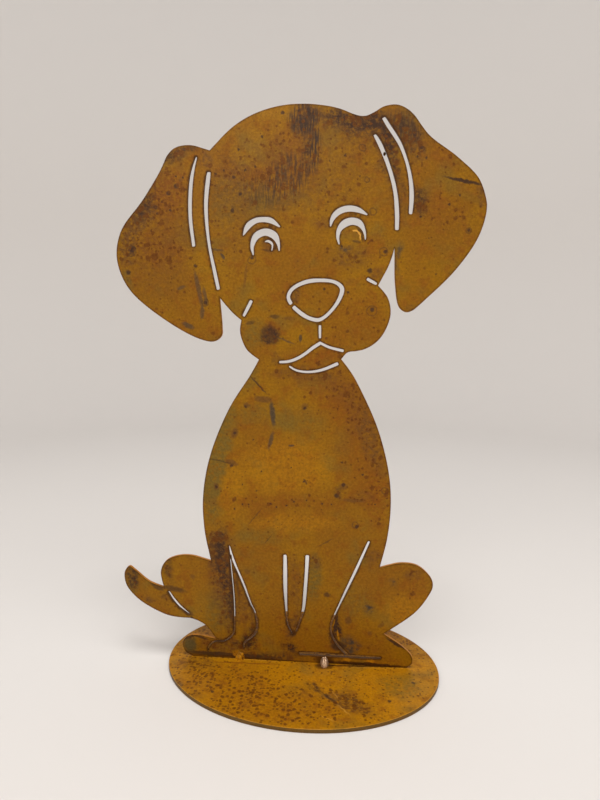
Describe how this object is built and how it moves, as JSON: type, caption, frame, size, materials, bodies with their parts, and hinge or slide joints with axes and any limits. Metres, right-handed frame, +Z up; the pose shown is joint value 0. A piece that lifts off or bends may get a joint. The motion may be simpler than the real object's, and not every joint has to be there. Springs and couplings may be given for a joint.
{
  "type": "cut-out sheet metal dog sculpture",
  "caption": "Flat cut-out of a sitting puppy in rusted sheet steel with slotted line drawing, upright on a flat oval steel base.",
  "frame": {"origin": "centre of the oval base's flat underside, on the surface that the sculpture stands on", "axes": "+Z up along the figure, +X to the right across the figure as seen from in front, and the puppy looks along -Y"},
  "size_m": [0.2226, 0.1344, 0.35],
  "materials": {
    "base_rust": "ochre rust patina under a thin clear coat",
    "figure_rust": "mottled ochre rust patina under a thin clear coat",
    "weld_metal": "bright weld metal",
    "weld_rust": "weld bead gone brown"
  },
  "bodies": {
    "root": {"base_plate": "base_rust", "dog_figure": "figure_rust", "weld_drop_front": "weld_metal", "weld_tack_front": "weld_rust", "weld_tack_back_left": "weld_rust", "weld_tack_back_middle": "weld_rust", "weld_tack_back_right": "weld_rust"}
  },
  "joints": []
}
